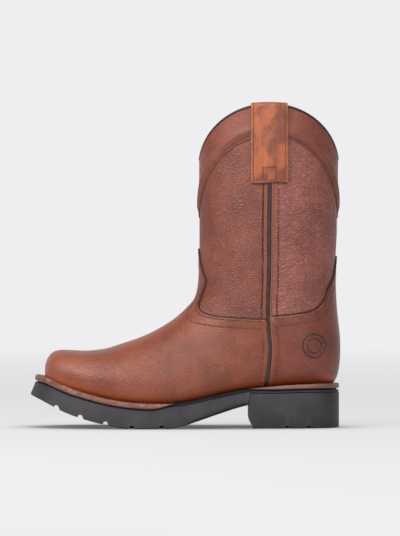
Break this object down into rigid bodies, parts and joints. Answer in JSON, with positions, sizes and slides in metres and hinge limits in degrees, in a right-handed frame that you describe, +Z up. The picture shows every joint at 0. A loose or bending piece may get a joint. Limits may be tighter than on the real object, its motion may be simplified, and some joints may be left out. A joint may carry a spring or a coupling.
{
  "type": "western work boot",
  "caption": "Left pull-on western work boot with a scalloped shaft, sewn leather panels, pull straps, stitched welt and lugged sole.",
  "frame": {"origin": "middle of the boot's box at floor height, under the sole", "axes": "+Z up from the floor, -X towards the toe, -Y towards the outer side of the left foot"},
  "size_m": [0.3054, 0.116, 0.3195],
  "materials": {
    "shaft_leather": "dark brown pebbled leather",
    "vamp_leather": "red-brown burnished smooth leather",
    "piping_leather": "black satin leather piping",
    "strap_leather": "tan satin leather",
    "insole_leather": "plain tan sock leather",
    "welt_leather": "matt brown welting",
    "sole_rubber": "matt black rubber"
  },
  "bodies": {
    "root": {"upper": "shaft_leather", "vamp": "vamp_leather", "counter": "vamp_leather", "shaft_front": "shaft_leather", "shaft_back": "shaft_leather", "piping_outer": "piping_leather", "piping_inner": "piping_leather", "pull_strap_outer": "strap_leather", "pull_strap_inner": "strap_leather", "insole": "insole_leather", "welt": "welt_leather", "heel_rand": "welt_leather", "outsole": "sole_rubber", "heel": "sole_rubber"}
  },
  "joints": []
}
